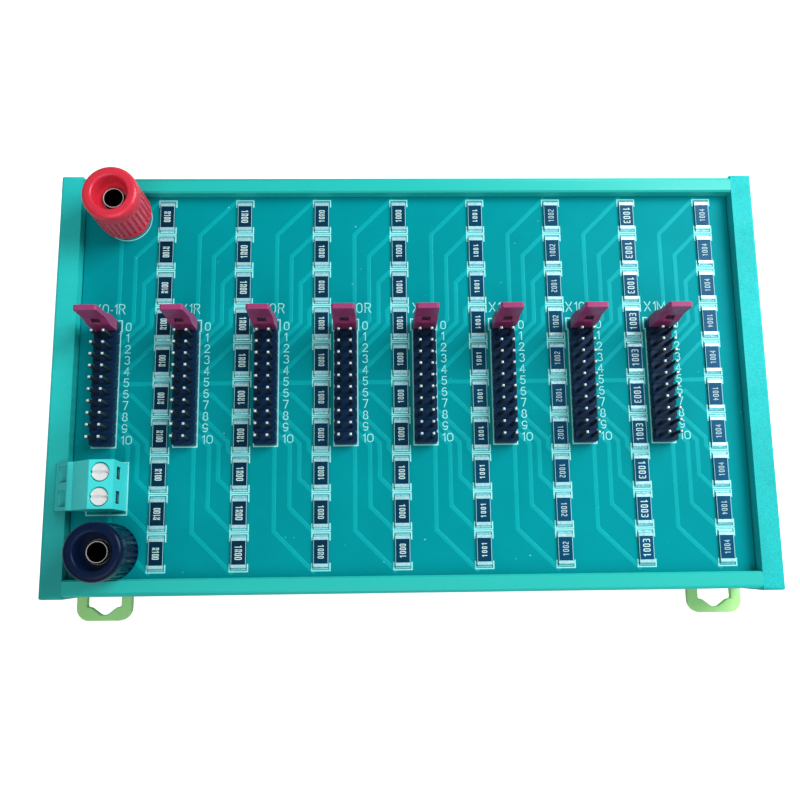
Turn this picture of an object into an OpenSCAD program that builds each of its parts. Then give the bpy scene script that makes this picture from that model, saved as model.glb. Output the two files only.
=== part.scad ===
// Decade resistance box: a board of pin headers, jumper caps and chip resistors
// in an extruded channel with end caps, two binding posts, a screw terminal and clip-on rail feet.
// X runs along the channel, Y across it with the latch loops at -Y, Z up. The feet stand on Z = 0.

/* [Carrier profile] */
// Length of the extruded channel between its end caps
profile_l = 147.7; // [140:0.1:200]
// Width of the channel over its side walls
profile_w = 92.8; // [90:0.2:110]
// Height of the channel from its floor to the top of its rims
profile_h = 20.5; // [18:0.1:30]
// Thickness of the side walls
side_t = 1.8; // [1.2:0.1:2.4]
// Thickness of the floor
floor_t = 1.8; // [1.2:0.1:3]
// Width of the two long rims
rim_w = 3.6; // [2.6:0.1:4]
// Depth of the board's upper face below the rims
board_drop = 3.0; // [2:0.1:4]
// Radius of the channel's outer edges
profile_r = 0.9; // [0.4:0.1:1.5]
// Thickness of the ledges that the board rests on
ledge_t = 1.3; // [0.8:0.1:2]
// Height of the spare pair of ledges above the floor's underside
spare_ledge_z = 8.0; // [6:0.1:10]

/* [End caps] */
// Thickness of an end cap
cap_t = 4.8; // [3:0.1:6]
// How far an end cap stands proud of the side walls
cap_proud = 0.45; // [0.1:0.05:1]
// Radius of the end caps' outer edges
cap_r = 0.7; // [0.3:0.1:1.2]
// Length of the tongues that plug into the channel
tongue_l = 6.0; // [3:0.5:12]
// Thickness of those tongues
tongue_t = 1.2; // [0.8:0.1:2]

/* [Circuit board] */
// Gap between the board and each side wall
board_side_gap = 0.4; // [0.2:0.05:1]
// Thickness of the board
board_t = 1.6; // [1:0.1:2]
// Gap between the board and each end cap
board_end_gap = 0.2; // [0.1:0.05:0.5]

/* [Pin headers] */
// Distance of the first header from the channel's left end
first_header_inset = 6.51; // [5.5:0.01:9]
// Distance of the last header from the channel's right end
last_header_inset = 18.34; // [17:0.01:24]
// Gap between the last row of the first header and the screw terminal
header_gap = 3.75; // [1:0.05:6]
// Pitch of the pins
pin_pitch = 2.54; // [2:0.01:2.6]
// Thickness of a square pin
pin_w = 0.64; // [0.5:0.02:0.7]
// Height of the pin tips above the board
pin_top = 8.5; // [7.5:0.1:10]
// Length of the pins under the board's upper face
pin_tail = 3.0; // [2:0.1:4]
// Height of a header's plastic body
header_h = 2.54; // [2:0.02:3]
// Width of a header's plastic body
header_w = 5.04; // [4.6:0.02:5.4]
// Depth of the notches between its cells
notch = 0.42; // [0.2:0.02:0.6]
// Diameter of the plated holes for the pins
pin_hole_d = 1.0; // [0.96:0.02:1.2]

/* [Jumper caps] */
// Width of a jumper cap's body
jumper_w = 5.0; // [4.8:0.05:5.2]
// Depth of a jumper cap's body
jumper_d = 2.44; // [2.3:0.02:2.5]
// Height of the sloping shoulders above its body
shoulder_h = 2.6; // [2.2:0.1:3]
// Height of the handle above the shoulders
handle_h = 6.3; // [4:0.1:8]
// Width of the handle at its top
handle_w = 4.8; // [4:0.1:4.9]
// Thickness of the handle
handle_t = 1.15; // [0.8:0.05:1.3]
// Thickness of the sheet that the contact is made of
contact_t = 0.26; // [0.2:0.02:0.3]

/* [Resistors] */
// Length of a chip resistor
chip_l = 6.35; // [6:0.05:6.6]
// Width of a chip resistor
chip_w = 3.2; // [2.8:0.05:3.4]
// Height of a chip resistor
chip_h = 0.6; // [0.4:0.02:0.8]
// Length of its tinned ends
chip_end = 0.66; // [0.5:0.02:0.8]
// Distance of a column to the left of the next header
column_gap = 5.4; // [5:0.05:8]
// Distance of the first and last chip from the rims
column_inset = 1.825; // [1:0.025:5]
// Distance of a column's middle behind the middle of the channel
column_y = 0.2; // [-0.8:0.05:0.8]

/* [Binding posts] */
// Distance of the posts from the rims' inner edges
post_inset = 5.3; // [5.2:0.1:8]
// Distance of the posts to the right of the first header
post_dx = 3.25; // [2:0.05:4]
// Distance of the posts' middle behind the middle of the channel
post_y = 0.31; // [-0.5:0.01:0.8]
// Diameter of a knob over its ribs
knob_d = 12.0; // [11:0.1:12.6]
// Height of a knob
knob_h = 11.9; // [10:0.1:14]
// Height of the smooth bezel above its ribs
bezel_h = 3.3; // [2.2:0.1:4]
// Number of ribs round a knob
knob_ribs = 30; // [20:1:36]
// Diameter of the recess in a knob's top
recess_d = 7.4; // [6.6:0.1:8]
// Depth of that recess
recess_depth = 4.0; // [3:0.1:4.5]
// Diameter of a stud's thread
stud_d = 6.0; // [5.8:0.05:6.2]
// Diameter of the socket for a 4 mm plug
socket_d = 4.0; // [3.9:0.02:4.1]
// Depth of that socket
socket_depth = 11.7; // [8:0.1:11.7]
// Diameter of a stud's tail under its flange
tail_d = 5.4; // [5:0.1:5.6]
// Diameter of the flange that the knob clamps against
flange_d = 9.2; // [8.6:0.1:9.4]
// Thickness of that flange
flange_t = 1.05; // [0.8:0.05:1.2]
// Height of the insulating collar
collar_h = 2.1; // [1.8:0.1:2.4]
// Outer diameter of the threaded insert
insert_d = 8.4; // [8:0.1:8.6]
// Height of the threaded insert
insert_h = 6.4; // [5:0.1:6.8]
// Radial clearance of the moving threads and of the knob on its insert
thread_gap = 0.05; // [0.02:0.01:0.08]
// Width across the flats of the nuts under the board
nut_af = 8.0; // [7.5:0.1:8.2]

/* [Screw terminal] */
// Pitch of the two ways
way_pitch = 5.08; // [5:0.01:5.2]
// Height of the terminal's top above the board
terminal_h = 10.0; // [9.9:0.05:11]
// Distance of the terminal's rear face to the right of the first header
terminal_rear = 5.35; // [5:0.05:6]
// Depth of the flat top
top_d = 5.1; // [5:0.05:5.4]
// Gap between the terminal and the black knob
terminal_gap = 2.67; // [0.5:0.01:5]
// Height of the lip above the wire entries
lip_h = 6.0; // [5.8:0.05:6.4]
// How far the wire entries stand out in front of the rear face
entry_d = 14.15; // [13.6:0.05:14.6]
// Diameter of a screw head
head_d = 3.55; // [3.4:0.05:3.7]
// Diameter of a screw's shank
shank_d = 3.0; // [2.8:0.05:3.1]
// Width of a rising cage
cage_w = 3.6; // [3.4:0.05:3.7]

/* [Rail feet] */
// Height of the channel's floor above the surface the feet stand on
foot_h = 10.0; // [9.8:0.1:13]
// Width of a foot and of its latch
foot_w = 12.8; // [12:0.05:16]
// Width of the mounting rail
rail_w = 35.0; // [34.8:0.1:35.2]
// Height of the gap that takes the rail's edge
rail_edge_gap = 1.2; // [1.1:0.05:1.4]
// Height of the hooks under the rail's edge
hook_h = 3.1; // [2.6:0.1:3.2]
// How far the hooks reach under the rail
hook_reach = 1.9; // [1.5:0.1:2.4]
// Distance of a foot's outer side inside the end cap's outer face
foot_inset = 0.5; // [0:0.1:1]
// How far a latch loop stands out in front of the end caps
loop_out = 5.9; // [4.5:0.1:9]
// Distance of a foot's front behind the end caps' front
foot_setback = 6.85; // [5:0.05:8]
// Thickness of a latch
latch_t = 1.8; // [1.4:0.1:2]
// Width of a latch's two legs
leg_w = 2.45; // [2:0.05:3]
// Travel of a latch
latch_travel = 3.0; // [2.5:0.1:3.2]

/* [Hidden] */

$fn = 48;
// Overshoot of every cut
over = 0.5;
// Number of headers, pin rows and chips in a column
headers = 8;
rows = 11;
chips = 10;

// The loops stand out at -Y, so the channel's middle lies behind the origin by half of that
cap_w = profile_w + 2 * cap_proud;
loop_reach = cap_w / 2 + loop_out;
mid_y = loop_out / 2;

// Heights from the surface that the feet stand on
floor_z = foot_h;
rim_z = floor_z + profile_h;
board_z = rim_z - board_drop;

// Inside of the channel
hollow_w = profile_w - 2 * side_t;
opening_w = profile_w - 2 * rim_w;
board_play = 0.2;
rim_h = board_drop - board_play;
ledge_reach = (hollow_w - opening_w) / 2;
tongue_inset = 15.0;
rim_bevel = 0.5;
rib_t = 1.2;
rib_h = 2.0;
rib_toe = 1.2;
rib_toe_t = 0.9;
rib_y = 26.0;

// Places on the board: posts inset from the rims, the terminal beside the black post,
// the headers beside the terminal, the chips spread over the opening
board_w = hollow_w - 2 * board_side_gap;
first_header_x = profile_l / 2 - first_header_inset;
header_pitch = (profile_l - first_header_inset - last_header_inset) / (headers - 1);
column_dx = header_pitch - column_gap;
chip_pitch = (opening_w - 2 * column_inset - chip_l) / (chips - 1);
post_spacing = opening_w - 2 * post_inset;
terminal_y = post_spacing / 2 - post_y - knob_d / 2 - way_pitch - terminal_gap;
first_row_y = way_pitch + header_gap + (rows - 0.5) * pin_pitch - terminal_y;
function header_x(i) = -first_header_x + (i - 1) * header_pitch;
function row_y(r) = mid_y + first_row_y - r * pin_pitch;
function chip_y(k) = mid_y + column_y + ((chips - 1) / 2 - k) * chip_pitch;
post_x = header_x(1) + post_dx;
red_y = mid_y + post_y + post_spacing / 2;
black_y = mid_y + post_y - post_spacing / 2;
terminal_x = header_x(1) + terminal_rear;
terminal_mid_y = mid_y - terminal_y;
function way_y(k) = terminal_mid_y + (k == 1 ? 1 : -1) * way_pitch / 2;

// Heights of a binding post above the board
flange_top = collar_h + flange_t;
knob_z = flange_top + 0.05;
knob_top = knob_z + knob_h;
recess_floor = knob_top - recess_depth;
recess_floor_t = 0.5;
stud_thread_top = recess_floor - recess_floor_t - 0.1;
stud_top = recess_floor + 0.7;
neck_d = 4.7;
insert_z = stud_thread_top - insert_h;
insert_top = insert_z + insert_h;
washer_t = 0.8;
washer_d = 9.4;
nut_t = 2.4;

// The terminal's inner heights above the board
head_t = 1.3;
head_top = terminal_h - 0.4;
ledge_top = head_top - head_t - 0.05;
ledge_under = ledge_top - 0.3;
bar_t = 0.7;
bar_z = 4.8;
cage_rise = 1.5;
cage_wall = 0.7;
cage_roof = 0.8;
cage_z = 1.9;
cage_top = bar_z + bar_t + 0.1 + cage_roof;
screw_x = terminal_x - top_d + 2.23;
cage_d = 3.6;
overhang_z = board_drop + 0.15;
chamber_w = cage_w + 0.4;
chamber_rear = 0.3;
chamber_d = top_d - 0.2;
solder_pin_w = 0.6;
solder_pin_x = terminal_x - 0.65;

// Heights above the underside of a jumper cap, which sits home on its header: the pins reach to pin_grip
cap_seat = 0.02;
pin_grip = pin_top - header_h - cap_seat;
jumper_body_h = pin_grip - 0.5;
shoulder_z = jumper_body_h + shoulder_h;
jumper_h = shoulder_z + handle_h;
window_z = jumper_body_h + 0.1;
window_top = shoulder_z - 0.3;
// Room inside a jumper cap
cavity_w = 2 * pin_pitch - 0.88;
contact_d = 1.4;
window_w = 1.9;

// Levels of a foot
seat_z = hook_h + rail_edge_gap;
latch_top = foot_h - rib_h - 0.5;
latch_z = latch_top - latch_t;
latch_play = 0.2;
foot_x = profile_l / 2 + cap_t - foot_inset - foot_w / 2;
foot_front = cap_w / 2 - foot_setback;
heel_front = foot_front - 4.0;
nose_root = 4.0;
rail_play = 0.3;
half_rail = rail_w / 2 + rail_play;
hook_y = rail_w / 2 - hook_reach;
hook_bevel = 0.8;
hook_slope = 0.4;
rib_play = 0.1;
foot_body_y = rib_y - rib_toe - rib_play;
nose_front = half_rail + nose_root + latch_travel + rail_play;
heel_rear = nose_front + 2.9;

// Rectangle with rounded corners, centred in x and standing on y = 0
module rounded_plate(w, h, r) {
    translate([-w / 2 + r, 0]) square([w - 2 * r, h]);
    translate([-w / 2, r]) square([w, h - 2 * r]);
    for (x = [-w / 2 + r, w / 2 - r], y = [r, h - r]) translate([x, y]) circle(r);
}

// Extrudes an outline drawn in Y and Z along X, centred
module along_x(length) {
    rotate([90, 0, 90]) linear_extrude(length, center = true) children();
}

// Extrudes an outline drawn in X and Z along Y, centred
module along_y(length) {
    rotate([90, 0, 0]) linear_extrude(length, center = true) children();
}

// Cross-section of the channel in Y and Z, standing on its floor
module channel_section() {
    difference() {
        rounded_plate(profile_w, profile_h, profile_r);
        translate([-hollow_w / 2, floor_t]) square([hollow_w, profile_h - floor_t - rim_h]);
        translate([-opening_w / 2, floor_t]) square([opening_w, profile_h]);
        // broken inner edges of the rims
        for (side = [-1, 1]) translate([side * opening_w / 2, profile_h]) rotate(45)
            square(rim_bevel, center = true);
    }
    for (side = [-1, 1]) {
        // ledge under the board, and a spare one for a lower board
        for (z = [profile_h - board_drop - board_t - ledge_t, spare_ledge_z])
            translate([side * (hollow_w / 2 + 0.1) - (side > 0 ? ledge_reach + 0.1 : 0), z])
                square([ledge_reach + 0.1, ledge_t]);
        // hooked rib that holds the feet
        translate([side * (rib_y + rib_t / 2) - rib_t / 2, -rib_h]) square([rib_t, rib_h + 0.1]);
        translate([side * (rib_y - rib_toe / 2 + 0.05) - rib_toe / 2 - 0.05, -rib_h])
            square([rib_toe + 0.1, rib_toe_t]);
    }
}

module carrier_profile() {
    color("mediumseagreen") translate([0, mid_y, floor_z]) along_x(profile_l) channel_section();
}

// End cap for the +X end, drawn against the channel's end
module end_cap() {
    intersection() {
        translate([cap_t / 2, 0, 0]) along_x(cap_t) rounded_plate(cap_w, profile_h, cap_r);
        linear_extrude(profile_h) translate([-cap_t, 0])
            rotate(-90) rounded_plate(cap_w, 2 * cap_t, cap_r);
        along_y(cap_w + 1) rounded_plate(2 * cap_t, profile_h, cap_r);
    }
    // tongues that plug into the channel, one on the floor and one at each side wall
    gap = 0.15;
    floor_tongue = hollow_w - 2 * tongue_inset;
    translate([-tongue_l, -floor_tongue / 2, floor_t + gap]) cube([tongue_l + over, floor_tongue, tongue_t]);
    for (side = [-1, 1])
        translate([-tongue_l, side * (hollow_w / 2 - gap - tongue_t / 2) - tongue_t / 2, floor_t + gap])
            cube([tongue_l + over, tongue_t, spare_ledge_z - floor_t - 2 * gap]);
}

module end_cap_right() {
    color("mediumturquoise") translate([profile_l / 2, mid_y, floor_z]) end_cap();
}

module end_cap_left() {
    color("mediumturquoise") mirror([1, 0, 0]) translate([profile_l / 2, mid_y, floor_z]) end_cap();
}

module circuit_board() {
    board_l = profile_l - 2 * board_end_gap;
    color("teal") translate([0, 0, board_z - board_t]) linear_extrude(board_t) difference() {
        translate([-board_l / 2, mid_y - board_w / 2]) square([board_l, board_w]);
        for (i = [1:headers], r = [0:rows - 1], side = [-1, 1])
            translate([header_x(i) + side * pin_pitch / 2, row_y(r)]) circle(d = pin_hole_d, $fn = 16);
        for (y = [red_y, black_y]) translate([post_x, y]) circle(d = tail_d + 0.2);
        for (k = [1, 2]) translate([solder_pin_x, way_y(k)]) circle(d = solder_pin_w + 0.9, $fn = 24);
    }
}

// One header strip with a square hole for every pin
module header_body(i) {
    length = rows * pin_pitch;
    hole = pin_w + 0.02;
    color("midnightblue") translate([header_x(i), row_y(0) + pin_pitch / 2 - length, board_z])
        linear_extrude(header_h) difference() {
            translate([-header_w / 2, 0]) square([header_w, length]);
            for (r = [0:rows], side = [-1, 1])
                translate([side * header_w / 2, r * pin_pitch]) rotate(45)
                    square(notch * sqrt(2), center = true);
            for (r = [0:rows - 1], side = [-1, 1])
                translate([side * pin_pitch / 2, (r + 0.5) * pin_pitch]) square(hole, center = true);
        }
}

// Silhouette of a pin with bevelled tips, from its tail to its top
module pin_silhouette() {
    bevel = 0.14;
    tip = 0.4;
    half = pin_w / 2;
    polygon([[-half + bevel, -pin_tail], [half - bevel, -pin_tail], [half, -pin_tail + tip],
        [half, pin_top - tip], [half - bevel, pin_top], [-half + bevel, pin_top],
        [-half, pin_top - tip], [-half, -pin_tail + tip]]);
}

// All pins at once: the silhouettes of the columns crossed with those of the rows
module header_pins() {
    span_y = rows * pin_pitch;
    color("silver") translate([0, 0, board_z]) intersection() {
        translate([0, row_y((rows - 1) / 2), 0]) along_y(span_y)
            for (i = [1:headers], side = [-1, 1])
                translate([header_x(i) + side * pin_pitch / 2, 0]) pin_silhouette();
        along_x(2 * first_header_x + 2 * headers * pin_pitch)
            for (r = [0:rows - 1]) translate([row_y(r), 0]) pin_silhouette();
    }
}

// One column of chips: pale ceramic with a dark glazed top
module resistors(i) {
    glaze_t = 0.08;
    glaze_w = chip_w - 0.3;
    body_l = chip_l - 2 * chip_end;
    color("darkslateblue") for (k = [0:chips - 1])
        translate([header_x(i) + column_dx, chip_y(k), board_z]) {
            translate([-chip_w / 2, -body_l / 2, 0]) cube([chip_w, body_l, chip_h - glaze_t]);
            translate([-glaze_w / 2, -body_l / 2, 0]) cube([glaze_w, body_l, chip_h]);
        }
}

module resistor_terminals() {
    color("gainsboro") for (i = [1:headers], k = [0:chips - 1], side = [-1, 1])
        translate([header_x(i) + column_dx - chip_w / 2,
                chip_y(k) + side * (chip_l - chip_end) / 2 - chip_end / 2, board_z])
            cube([chip_w, chip_end, chip_h]);
}

// Puts its children at a jumper's underside, over the first row of header i
module at_jumper(i) {
    translate([header_x(i), row_y(0), board_z + header_h + cap_seat]) children();
}

module jumper_cap(i) {
    half_d = jumper_d / 2;
    half_t = handle_t / 2;
    corner = 0.35;
    color("mediumvioletred") at_jumper(i) difference() {
        intersection() {
            along_x(jumper_w + 1) polygon([[-half_d, 0], [half_d, 0], [half_d, jumper_body_h],
                [half_t, shoulder_z], [half_t, jumper_h], [-half_t, jumper_h],
                [-half_t, shoulder_z], [-half_d, jumper_body_h]]);
            along_y(jumper_d + 1) polygon([[-jumper_w / 2, 0], [jumper_w / 2, 0],
                [jumper_w / 2, shoulder_z], [handle_w / 2, jumper_h - corner],
                [handle_w / 2 - corner, jumper_h], [-handle_w / 2 + corner, jumper_h],
                [-handle_w / 2, jumper_h - corner], [-jumper_w / 2, shoulder_z]]);
        }
        translate([-cavity_w / 2, -contact_d / 2, -over])
            cube([cavity_w, contact_d, pin_grip + contact_t + 0.02 + over]);
        translate([-window_w / 2 + 0.1, -contact_t, pin_grip])
            cube([window_w - 0.2, 2 * contact_t, window_top - pin_grip]);
        translate([-window_w / 2, -jumper_d, window_z])
            cube([window_w, jumper_d + contact_t, window_top - window_z]);
    }
}

// Bridge inside a cap: two square tubes, a roof over the pin tips and a tab up to the window
module jumper_contact(i) {
    bore = pin_w + 0.1;
    tube_z = 0.5;
    tab_w = window_w - 0.3;
    roof_w = cavity_w - 0.04;
    depth = contact_d - 0.04;
    color("goldenrod") at_jumper(i) {
        difference() {
            translate([-roof_w / 2, -depth / 2, tube_z]) cube([roof_w, depth, pin_grip - tube_z + contact_t]);
            for (side = [-1, 1]) translate([side * pin_pitch / 2 - bore / 2, -bore / 2, 0])
                cube([bore, bore, pin_grip + 0.01]);
            translate([-0.6, -depth, 0]) cube([1.2, 2 * depth, pin_grip]);
        }
        translate([-tab_w / 2, -contact_t / 2, pin_grip]) cube([tab_w, contact_t, window_top - pin_grip - 0.7]);
    }
}

// Revolved outline of a knob above the board, with rounded lips
module knob_outline() {
    r_out = knob_d / 2;
    r_in = recess_d / 2;
    lip = 1.1;
    inner_lip = 0.6;
    seat_r = insert_d / 2 + thread_gap;
    difference() {
        union() {
            translate([0, knob_z]) square([r_out, knob_h - lip]);
            translate([0, knob_top - lip]) square([r_out - lip, lip]);
            translate([r_out - lip, knob_top - lip]) circle(lip);
        }
        translate([-over, recess_floor]) square([r_in + over, recess_depth - inner_lip]);
        // rounded inner lip of the recess
        difference() {
            translate([-over, knob_top - inner_lip - 0.01])
                square([r_in + inner_lip + over, inner_lip + over]);
            translate([r_in + inner_lip, knob_top - inner_lip]) circle(inner_lip);
            translate([r_in + inner_lip, knob_top - inner_lip - 0.01]) square([1, inner_lip]);
        }
        // seat of the insert, and the hole round the stud's neck
        translate([-over, knob_z - over]) square([seat_r + over, insert_top + thread_gap - knob_z + over]);
        translate([-over, knob_z]) square([neck_d / 2 + 0.25 + over, knob_h]);
        translate([-2 * r_out, 0]) square([2 * r_out, 2 * knob_top]);
    }
}

// Knob with ribs cut between its foot and the smooth bezel
module knob(y) {
    foot = 0.6;
    groove = 0.42;
    translate([post_x, y, board_z]) difference() {
        rotate_extrude($fn = 96) knob_outline();
        for (a = [0:knob_ribs - 1]) rotate(a * 360 / knob_ribs)
            translate([knob_d / 2 + 0.08, 0, knob_z + foot])
                cylinder(r = groove, h = knob_h - foot - bezel_h, $fn = 6);
    }
}

module red_knob() { color("crimson") knob(red_y); }

module black_knob() { color([0.08, 0.09, 0.2]) knob(black_y); }

// Threaded ring inside a knob
module insert_ring(y) {
    translate([post_x, y, board_z + insert_z]) difference() {
        cylinder(d = insert_d, h = insert_h);
        translate([0, 0, -over]) cylinder(d = stud_d + 2 * thread_gap, h = insert_h + 2 * over);
    }
}

module red_insert() { color("silver") insert_ring(red_y); }

module black_insert() { color("silver") insert_ring(black_y); }

// Stud with flange, thread, neck and the socket for a plug
module stud(y) {
    tail_l = board_t + washer_t + nut_t + 1.2;
    translate([post_x, y, board_z]) difference() {
        union() {
            translate([0, 0, -tail_l]) cylinder(d = tail_d, h = tail_l + collar_h + 0.1);
            translate([0, 0, collar_h]) cylinder(d = flange_d, h = flange_t);
            translate([0, 0, collar_h]) cylinder(d = stud_d, h = stud_thread_top - collar_h);
            translate([0, 0, stud_thread_top - 0.1]) cylinder(d = neck_d, h = stud_top - stud_thread_top + 0.1);
        }
        translate([0, 0, stud_top - socket_depth]) cylinder(d = socket_d, h = socket_depth + over);
    }
}

module red_stud() { color("silver") stud(red_y); }

module black_stud() { color("silver") stud(black_y); }

// Insulating collar between the flange and the board
module collar(y) {
    translate([post_x, y, board_z]) difference() {
        cylinder(d = flange_d + 0.4, h = collar_h);
        translate([0, 0, -over]) cylinder(d = tail_d + 0.1, h = collar_h + 2 * over);
    }
}

module red_collar() { color("firebrick") collar(red_y); }

module black_collar() { color("black") collar(black_y); }

module post_nuts() {
    color("lightsteelblue") for (y = [red_y, black_y]) {
        translate([post_x, y, board_z - board_t - washer_t]) difference() {
            cylinder(d = washer_d, h = washer_t);
            translate([0, 0, -over]) cylinder(d = tail_d + 0.1, h = washer_t + 2 * over);
        }
        translate([post_x, y, board_z - board_t - washer_t - nut_t]) difference() {
            cylinder(d = nut_af / cos(30), h = nut_t, $fn = 6);
            translate([0, 0, -over]) cylinder(d = tail_d + 0.1, h = nut_t + 2 * over);
        }
    }
}

// Side outline of the terminal in X and Z: flat top, sloping front, lip and the sloping entry face
module terminal_outline() {
    foot_d = 8.6;
    lip_d = 10.75;
    slope_d = 9.65;
    polygon([[0, 0], [0, terminal_h], [-top_d, terminal_h], [-slope_d, lip_h], [-lip_d, lip_h],
        [-entry_d, overhang_z + 0.05], [-entry_d, overhang_z], [-foot_d, overhang_z], [-foot_d, 0]]);
}

module terminal_housing() {
    width = 2 * way_pitch;
    head_play = 0.55;
    shank_play = 0.3;
    sill = 0.8;
    trough = [2.3, 3.4];
    duct = [2.5, 1.5];
    duct_z = 3.5;
    duct_rear = 1.3;
    pin_slot_w = 1.2;
    rear_slot = [2.6, 3.1];
    rear_slot_z = 4.6;
    color("turquoise") difference() {
        translate([terminal_x, terminal_mid_y, board_z]) along_y(width) terminal_outline();
        for (k = [1, 2]) translate([terminal_x, way_y(k), board_z]) {
            // chamber of the cage, the screw's hole and its ledge
            translate([-chamber_rear - chamber_d, -chamber_w / 2, cage_z - 0.05])
                cube([chamber_d, chamber_w, ledge_under - cage_z + 0.05]);
            translate([screw_x - terminal_x, 0, ledge_top])
                cylinder(d = head_d + head_play, h = terminal_h - ledge_top + over);
            translate([screw_x - terminal_x, 0, cage_z]) cylinder(d = shank_d + shank_play, h = ledge_top - cage_z + over);
            // slot of the solder pin
            translate([solder_pin_x - terminal_x - solder_pin_w / 2 - 0.1, -pin_slot_w / 2, -over])
                cube([solder_pin_w + 0.2, pin_slot_w, cage_z + 2 * over]);
            // wire entry: a trough behind a sill, and the duct to the chamber
            translate([-entry_d + sill, -trough[1] / 2, duct_z]) cube([trough[0], trough[1], lip_h]);
            translate([-entry_d + sill + trough[0] / 2, -duct[0] / 2, duct_z])
                cube([entry_d - sill - trough[0] / 2 - duct_rear, duct[0], duct[1]]);
            // slot in the rear face
            translate([-chamber_rear - 0.1, -rear_slot[0] / 2, rear_slot_z])
                cube([chamber_rear + over, rear_slot[0], rear_slot[1]]);
        }
    }
}

// Screw with a slotted head that turns in place
module terminal_screw(k) {
    slot_w = 0.6;
    slot_t = 0.6;
    tip_z = bar_z + bar_t + 0.02;
    color("white") translate([screw_x, way_y(k), board_z]) difference() {
        union() {
            translate([0, 0, head_top - head_t]) cylinder(d = head_d, h = head_t);
            translate([0, 0, tip_z]) cylinder(d = shank_d, h = head_top - head_t - tip_z + 0.1);
        }
        translate([-head_d, -slot_w / 2, head_top - slot_t]) cube([2 * head_d, slot_w, slot_t + over]);
    }
}

// Rising cage: a frame open along X, with a threaded roof
module terminal_cage(k) {
    side_wall = 0.5;
    color("lightgray") translate([screw_x, way_y(k), board_z]) difference() {
        translate([-cage_d / 2, -cage_w / 2, cage_z]) cube([cage_d, cage_w, cage_top - cage_z]);
        translate([-cage_d, -cage_w / 2 + side_wall, cage_z + cage_wall])
            cube([2 * cage_d, cage_w - 2 * side_wall, cage_top - cage_z - cage_wall - cage_roof]);
        translate([0, 0, cage_z + cage_wall]) cylinder(d = shank_d + 2 * thread_gap, h = cage_top - cage_z);
    }
}

// Current bars through the cages, each bent down into a solder pin
module terminal_pins() {
    bar_w = 2.0;
    color("silver") for (k = [1, 2]) translate([0, way_y(k), board_z]) {
        translate([screw_x - cage_d / 2 - 0.3, -bar_w / 2, bar_z])
            cube([solder_pin_x + solder_pin_w / 2 - screw_x + cage_d / 2 + 0.3, bar_w, bar_t]);
        translate([solder_pin_x - solder_pin_w / 2, -0.5, -pin_tail]) cube([solder_pin_w, 1, pin_tail + bar_z + 0.1]);
    }
}

// Side outline of a foot in Y and Z, the fixed hook at +Y
module foot_outline() {
    plate = rib_h - rib_toe_t - 0.05;
    plate_y = rib_y - rib_play;
    shelf_z = foot_h - rib_h - 0.2;
    toe_rise = 1.6;
    polygon([[-plate_y, foot_h], [plate_y, foot_h], [plate_y, foot_h - plate], [foot_body_y, foot_h - plate],
        [foot_body_y, toe_rise], [foot_body_y - toe_rise, 0], [hook_y + hook_bevel, 0], [hook_y, hook_bevel],
        [hook_y, hook_h - hook_slope], [half_rail, hook_h], [half_rail, seat_z], [-heel_rear, seat_z],
        [-heel_rear, hook_bevel], [-heel_rear - hook_bevel, 0], [-heel_front + hook_bevel, 0],
        [-foot_front, seat_z], [-foot_front, shelf_z], [-foot_body_y, shelf_z],
        [-foot_body_y, foot_h - plate], [-plate_y, foot_h - plate]]);
}

// Foot on the channel's middle line, with side grooves for the latch's legs
module rail_foot() {
    groove_x = foot_w / 2 - leg_w - rail_play;
    difference() {
        along_x(foot_w) foot_outline();
        for (side = [-1, 1]) {
            translate([side > 0 ? groove_x : -groove_x - foot_w, -foot_front - over, latch_z - latch_play])
                cube([foot_w, foot_front + over - half_rail + rail_play, latch_t + 2 * latch_play]);
            // in front of the plate the groove is open upwards
            translate([side > 0 ? groove_x : -groove_x - foot_w, -foot_front - over, latch_z])
                cube([foot_w, foot_front + over - foot_body_y, foot_h - rib_h + 0.3 - latch_z]);
            // room for the latch's shoulders to drop past the seat
            translate([side > 0 ? groove_x : -groove_x - foot_w, -nose_front, seat_z - over])
                cube([foot_w, nose_front - half_rail + rail_play, latch_z - seat_z + 2 * over]);
        }
    }
}

module rail_foot_left() {
    color("yellowgreen") translate([-foot_x, mid_y, 0]) rail_foot();
}

module rail_foot_right() {
    color("yellowgreen") translate([foot_x, mid_y, 0]) rail_foot();
}

// Plan of a latch's legs and loop, drawn from the middle of the channel
module latch_plan() {
    outer_r = 3.0;
    inner_w = foot_w - 2 * leg_w;
    shoulder_y = loop_reach - 3.3;
    shoulder_x = 2.9;
    shoulder_drop = 0.25;
    round_r = 1.9;
    round_y = loop_reach - 1.35 - round_r;
    tangent = round_r * cos(45);
    difference() {
        translate([0, -loop_reach]) rounded_plate(foot_w, loop_reach - half_rail, outer_r);
        translate([-inner_w / 2, -shoulder_y]) square([inner_w, shoulder_y]);
        // finger hole: sloping shoulders that run into a round bottom
        polygon([[-inner_w / 2, -shoulder_y + over], [-inner_w / 2, -shoulder_y],
            [-shoulder_x, -shoulder_y - shoulder_drop], [-tangent, -round_y - tangent],
            [tangent, -round_y - tangent], [shoulder_x, -shoulder_y - shoulder_drop],
            [inner_w / 2, -shoulder_y], [inner_w / 2, -shoulder_y + over]]);
        translate([0, -round_y]) circle(round_r);
    }
    for (side = [-1, 1]) translate([side * (foot_w - leg_w) / 2 - leg_w / 2, -half_rail - outer_r - 1])
        square([leg_w, outer_r + 1]);
}

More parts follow.
